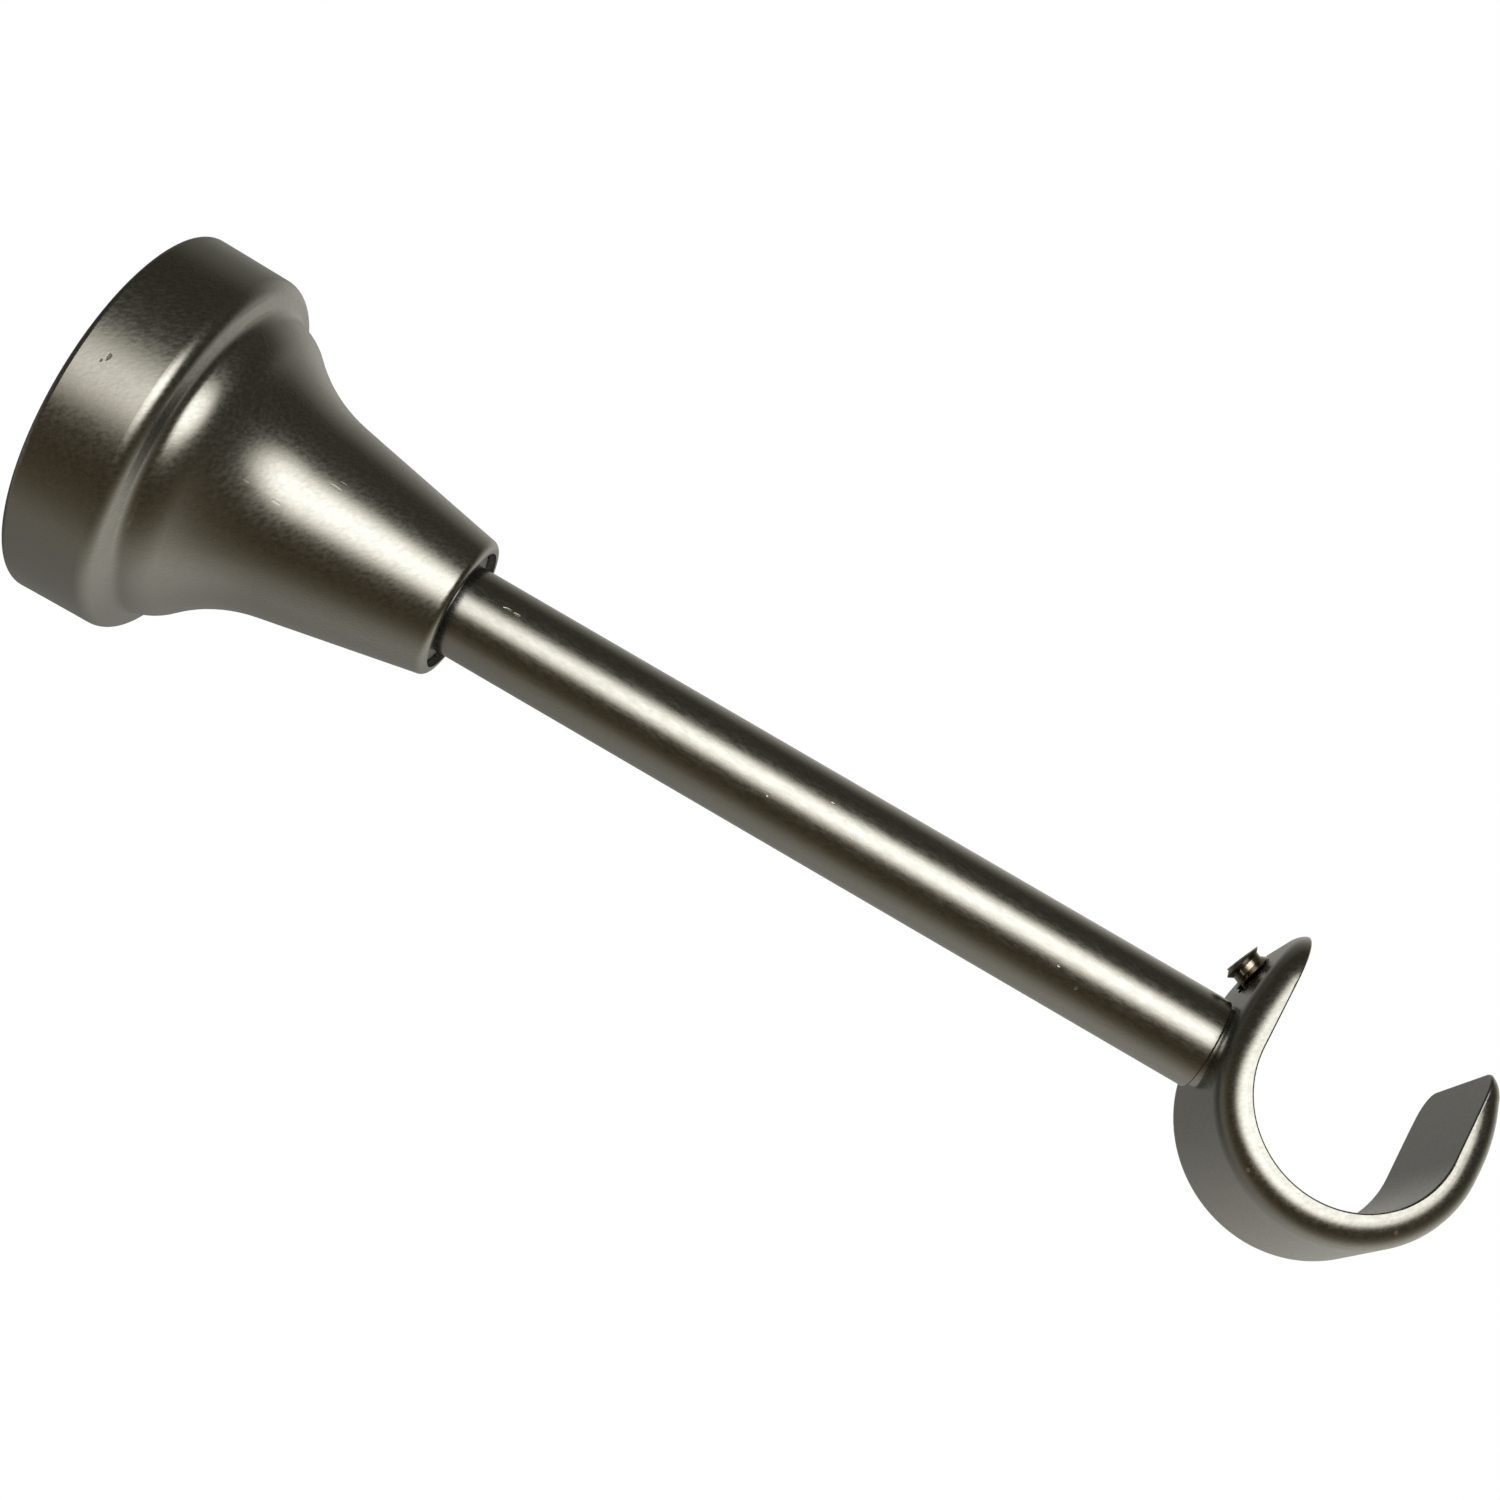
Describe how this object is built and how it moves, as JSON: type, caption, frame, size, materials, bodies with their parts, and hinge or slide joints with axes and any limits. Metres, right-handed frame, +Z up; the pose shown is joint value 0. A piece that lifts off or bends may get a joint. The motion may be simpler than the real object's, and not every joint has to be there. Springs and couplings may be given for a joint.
{
  "type": "curtain pole bracket",
  "caption": "Wall bracket for a curtain pole: a bell-shaped rose slides over a hidden wall plate, and a round arm carries an open U-shaped hook with a locking screw.",
  "frame": {"origin": "centre of the wall plate's back face, where the arm's axis meets the wall", "axes": "+X out of the wall along the arm, +Y along the pole, +Z up, towards the open side of the hook"},
  "size_m": [0.19, 0.05, 0.05],
  "materials": {
    "satin_nickel_casting": "satin nickel plating on a zinc casting",
    "satin_nickel_bar": "satin nickel plating on a drawn steel bar",
    "grey_nylon": "moulded, dull",
    "zinc_plated_steel": "bright zinc plating",
    "bright_steel": "bright threaded steel"
  },
  "bodies": {
    "bracket": {"wall_plate": "zinc_plated_steel", "plate_screw": "zinc_plated_steel", "arm": "satin_nickel_bar", "pole_hook": "satin_nickel_casting", "hook_screw": "zinc_plated_steel"},
    "rose": {"rose_cover": "satin_nickel_casting", "rose_bush": "grey_nylon"},
    "lock_screw": {"pole_screw": "bright_steel"}
  },
  "joints": [
    {"name": "rose_slide", "type": "slide", "parent": "bracket", "child": "rose", "axis": [1, 0, 0], "range_m": [0, 0.104]},
    {"name": "lock_screw_drive", "type": "slide", "parent": "bracket", "child": "lock_screw", "axis": [0.9178, 0, -0.3971], "range_m": [-0.0007, 0.0027]}
  ]
}
